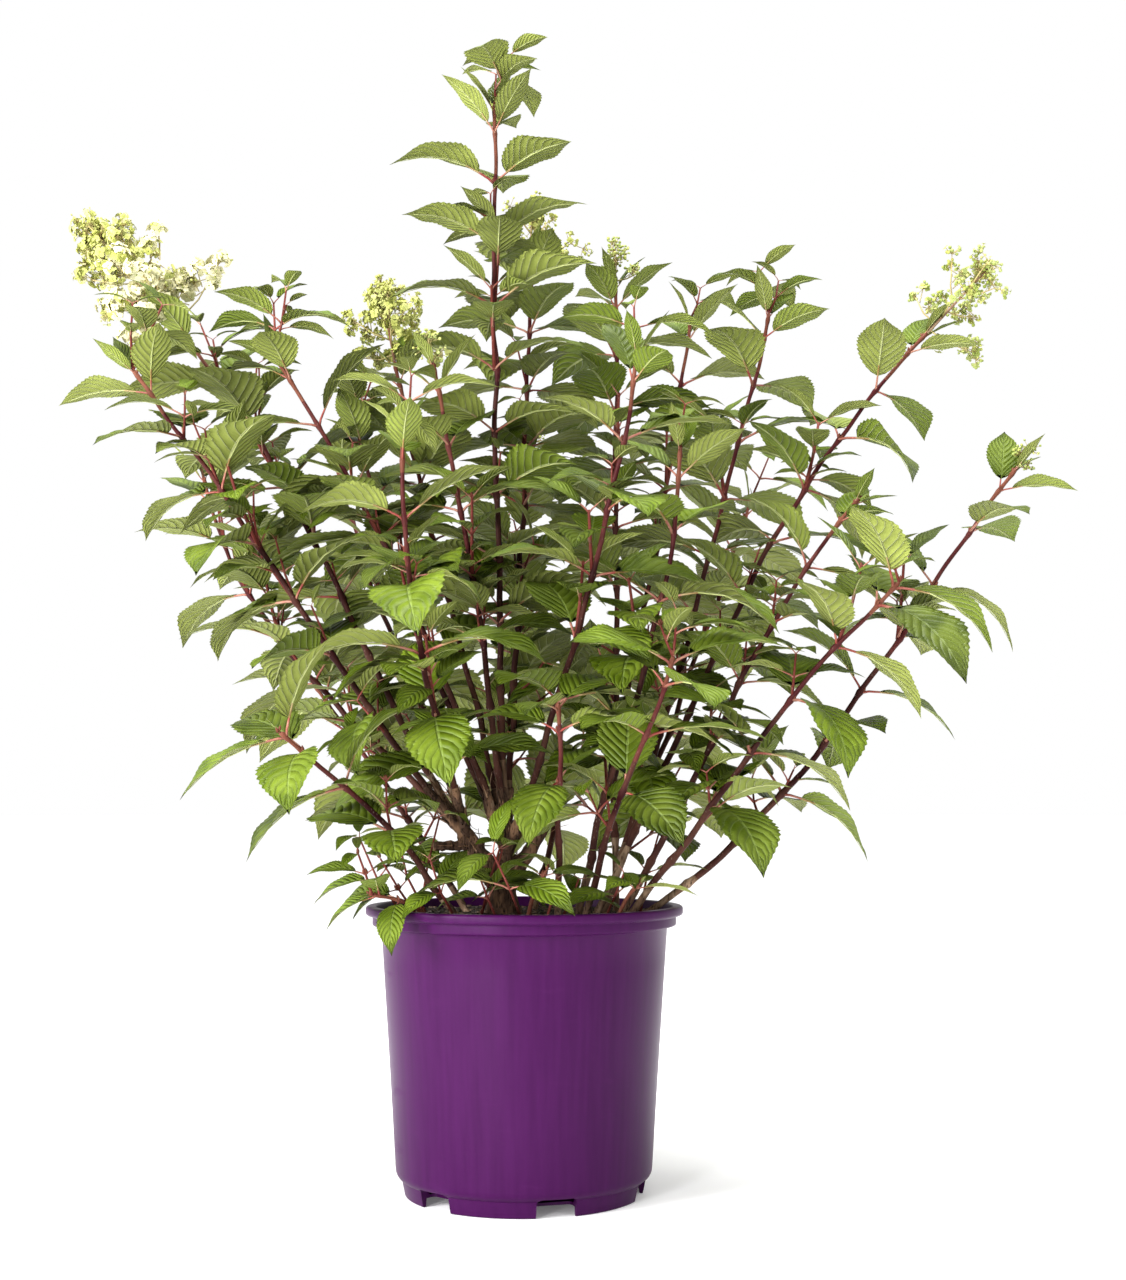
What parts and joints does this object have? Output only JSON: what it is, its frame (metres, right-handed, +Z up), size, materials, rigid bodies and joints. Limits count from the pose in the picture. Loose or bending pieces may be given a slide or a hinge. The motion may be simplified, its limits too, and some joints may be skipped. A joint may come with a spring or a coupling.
{
  "type": "potted panicle hydrangea",
  "caption": "Leafy panicle hydrangea with a woody crown, upright and spreading canes and cone-shaped flower heads, growing in a plain purple nursery pot.",
  "frame": {"origin": "on the pot's axis, at the middle of its flat underside", "axes": "+Z up along the pot's axis, -Y towards the front of the plant, +X to its right as seen from the front"},
  "size_m": [0.9233, 0.6463, 1.0366],
  "materials": {
    "pot_plastic": "moulded purple plastic with a soft gloss",
    "potting_mix": "dark, damp, crumbly bark mix",
    "old_bark": "brown, fissured, peeling bark",
    "cane_bark": "smooth dark red-brown cane bark with pale breathing pores",
    "leaves": "green leaves with pale veins and pale undersides, red young stems, lime and cream flower heads"
  },
  "bodies": {
    "root": {"cane_back_left": "cane_bark", "cane_back_low": "cane_bark", "cane_back_low_left": "cane_bark", "cane_back_middle": "cane_bark", "cane_back_right": "cane_bark", "cane_far_left": "cane_bark", "cane_far_right": "cane_bark", "cane_front_bud": "cane_bark", "cane_front_left": "cane_bark", "cane_front_low": "cane_bark", "cane_front_low_right": "cane_bark", "cane_front_right": "cane_bark", "cane_inner_left": "cane_bark", "cane_inner_right": "cane_bark", "cane_leader": "cane_bark", "cane_left_bloom": "cane_bark", "cane_left_bud": "cane_bark", "cane_left_shoulder": "cane_bark", "cane_low_left": "cane_bark", "cane_middle_bloom": "cane_bark", "cane_right_back": "cane_bark", "cane_right_bloom": "cane_bark", "cane_right_bud": "cane_bark", "cane_right_low": "cane_bark", "cane_right_top": "cane_bark", "cane_right_twig": "cane_bark", "cane_upper_bloom": "cane_bark", "crown": "old_bark", "leaves_back_left": "leaves", "leaves_back_low": "leaves", "leaves_back_low_left": "leaves", "leaves_back_middle": "leaves", "leaves_back_right": "leaves", "leaves_far_left": "leaves", "leaves_far_right": "leaves", "leaves_front_bud": "leaves", "leaves_front_left": "leaves", "leaves_front_low": "leaves", "leaves_front_low_right": "leaves", "leaves_front_right": "leaves", "leaves_inner_left": "leaves", "leaves_inner_right": "leaves", "leaves_leader": "leaves", "leaves_left_bloom": "leaves", "leaves_left_bud": "leaves", "leaves_left_shoulder": "leaves", "leaves_low_left": "leaves", "leaves_middle_bloom": "leaves", "leaves_right_back": "leaves", "leaves_right_bloom": "leaves", "leaves_right_bud": "leaves", "leaves_right_low": "leaves", "leaves_right_top": "leaves", "leaves_right_twig": "leaves", "leaves_shoot_front": "leaves", "leaves_shoot_left": "leaves", "leaves_shoot_right": "leaves", "leaves_upper_bloom": "leaves", "pot": "pot_plastic", "soil": "potting_mix"}
  },
  "joints": []
}
